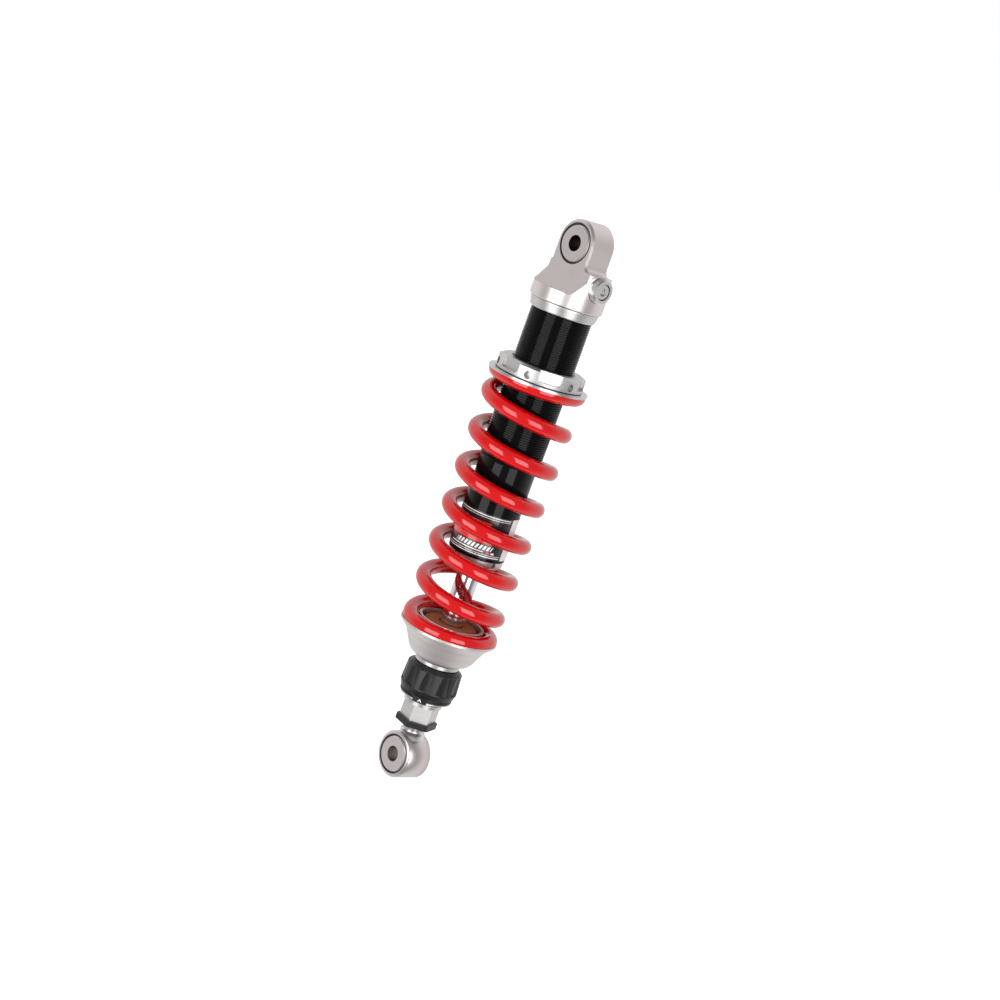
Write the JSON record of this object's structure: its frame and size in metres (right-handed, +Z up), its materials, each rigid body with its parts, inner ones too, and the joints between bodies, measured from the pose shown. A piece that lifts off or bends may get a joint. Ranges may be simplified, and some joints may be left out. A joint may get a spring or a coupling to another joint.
{
  "type": "motorcycle rear shock absorber",
  "caption": "Rear damper unit with a coil spring, threaded body, preload ring nut, rebound knob and an eye mount at each end.",
  "frame": {"origin": "centre of the upper eye's bolt bore, on the damper's axis", "axes": "+Z up along the damper's axis, +Y along the eye bolts, +X towards the gas valve"},
  "size_m": [0.0654, 0.0654, 0.381],
  "materials": {
    "cast_aluminium": "satin machined, clear anodised",
    "turned_aluminium": "fine turned, clear anodised",
    "valve_steel": "bright zinc",
    "black_anodised": "black hard anodised aluminium, semi-gloss",
    "label_film": "printed film",
    "red_coat": "gloss powder coat on spring steel",
    "washer_steel": "ground",
    "hard_chrome": "mirror",
    "bearing_steel": "ground and polished",
    "spring_steel": "oiled",
    "black_rubber": "matte",
    "slide_bronze": "plain bearing",
    "slide_band": "filled polymer",
    "brown_foam": "microcellular polyurethane",
    "black_knob": "black anodised aluminium, matte",
    "black_steel": "black oxide"
  },
  "bodies": {
    "barrel": {"head_cap": "cast_aluminium", "head_lock_ring": "turned_aluminium", "head_ring_seal": "black_rubber", "gas_valve_body": "valve_steel", "gas_valve_seal": "black_rubber", "gas_valve_screw": "valve_steel", "barrel_tube": "black_anodised", "barrel_label": "label_film", "seal_head": "turned_aluminium", "seal_head_ring": "black_rubber", "rod_wiper": "black_rubber", "rod_seal": "black_rubber", "rod_bushing": "slide_bronze", "keeper_ring": "washer_steel", "topout_bumper": "black_rubber", "upper_outer_race": "bearing_steel", "upper_snap_rings": "spring_steel", "upper_back_seal": "black_rubber", "upper_front_seal": "black_rubber"},
    "upper_pivot": {"upper_ball": "bearing_steel", "upper_back_collar": "turned_aluminium", "upper_front_collar": "turned_aluminium"},
    "free_piston": {"free_piston": "turned_aluminium", "free_piston_ring": "black_rubber", "free_piston_band": "slide_band"},
    "spring_seat": {"spring_washer": "washer_steel", "spring": "red_coat"},
    "preload_nut": {"preload_nut": "turned_aluminium"},
    "rod": {"piston_rod": "hard_chrome", "rebound_stop_washer": "washer_steel", "rebound_shims": "spring_steel", "piston": "spring_steel", "piston_band": "slide_band", "compression_shims": "spring_steel", "clamp_washer": "washer_steel", "piston_nut": "spring_steel", "rod_end": "turned_aluminium", "indicator_washer": "turned_aluminium", "indicator_ring": "black_knob", "cup_support_ring": "turned_aluminium", "detent_ball": "bearing_steel", "spring_cup": "turned_aluminium", "bump_washer": "washer_steel", "bump_stop": "brown_foam"},
    "rebound_knob": {"rebound_knob": "black_knob"},
    "needle": {"adjuster_pin": "spring_steel", "metering_needle": "spring_steel"},
    "lock_nut": {"lock_nut": "black_steel"},
    "lower_eye": {"lower_eye": "cast_aluminium", "lower_outer_race": "bearing_steel", "lower_snap_rings": "spring_steel", "lower_back_seal": "black_rubber", "lower_front_seal": "black_rubber"},
    "lower_pivot": {"lower_ball": "bearing_steel", "lower_back_collar": "turned_aluminium", "lower_front_collar": "turned_aluminium"}
  },
  "joints": [
    {"name": "upper_eye_swing", "type": "hinge", "parent": "barrel", "child": "upper_pivot", "pos_m": [0, 0, 0], "axis": [0, 1, 0], "continuous": true},
    {"name": "preload_travel", "type": "slide", "parent": "barrel", "child": "spring_seat", "axis": [0, 0, -1], "range_m": [-0.003, 0.008]},
    {"name": "preload_turn", "type": "hinge", "parent": "spring_seat", "child": "preload_nut", "pos_m": [0, 0, -0.083], "axis": [0, 0, -1], "range_deg": [-720, 1920]},
    {"name": "stroke", "type": "slide", "parent": "spring_seat", "child": "rod", "axis": [0, 0, 1], "range_m": [0, 0.052], "stiffness_N_per_m": 90000, "springref_m": -0.0018, "deforming": ["spring", "bump_stop"]},
    {"name": "gas_piston_travel", "type": "slide", "parent": "barrel", "child": "free_piston", "axis": [0, 0, 1], "range_m": [0, 0.012]},
    {"name": "rebound_turn", "type": "hinge", "parent": "rod", "child": "rebound_knob", "pos_m": [0, 0, -0.2945], "axis": [0, 0, 1], "range_deg": [-360, 360]},
    {"name": "needle_travel", "type": "slide", "parent": "rod", "child": "needle", "axis": [0, 0, 1], "range_m": [-0.001, 0.001]},
    {"name": "lock_nut_travel", "type": "slide", "parent": "rod", "child": "lock_nut", "axis": [0, 0, -1], "range_m": [0, 0.0025]},
    {"name": "length_adjust", "type": "slide", "parent": "rod", "child": "lower_eye", "axis": [0, 0, -1], "range_m": [-0.002, 0.006]},
    {"name": "lower_eye_swing", "type": "hinge", "parent": "lower_eye", "child": "lower_pivot", "pos_m": [0, 0, -0.35], "axis": [0, 1, 0], "continuous": true}
  ],
  "couplings": [
    {"joint": "preload_turn", "follows": "preload_travel", "rad_per_m": 4188.8},
    {"joint": "gas_piston_travel", "follows": "stroke", "ratio": 0.21973},
    {"joint": "needle_travel", "follows": "rebound_turn", "m_per_rad": 0.00015915}
  ]
}
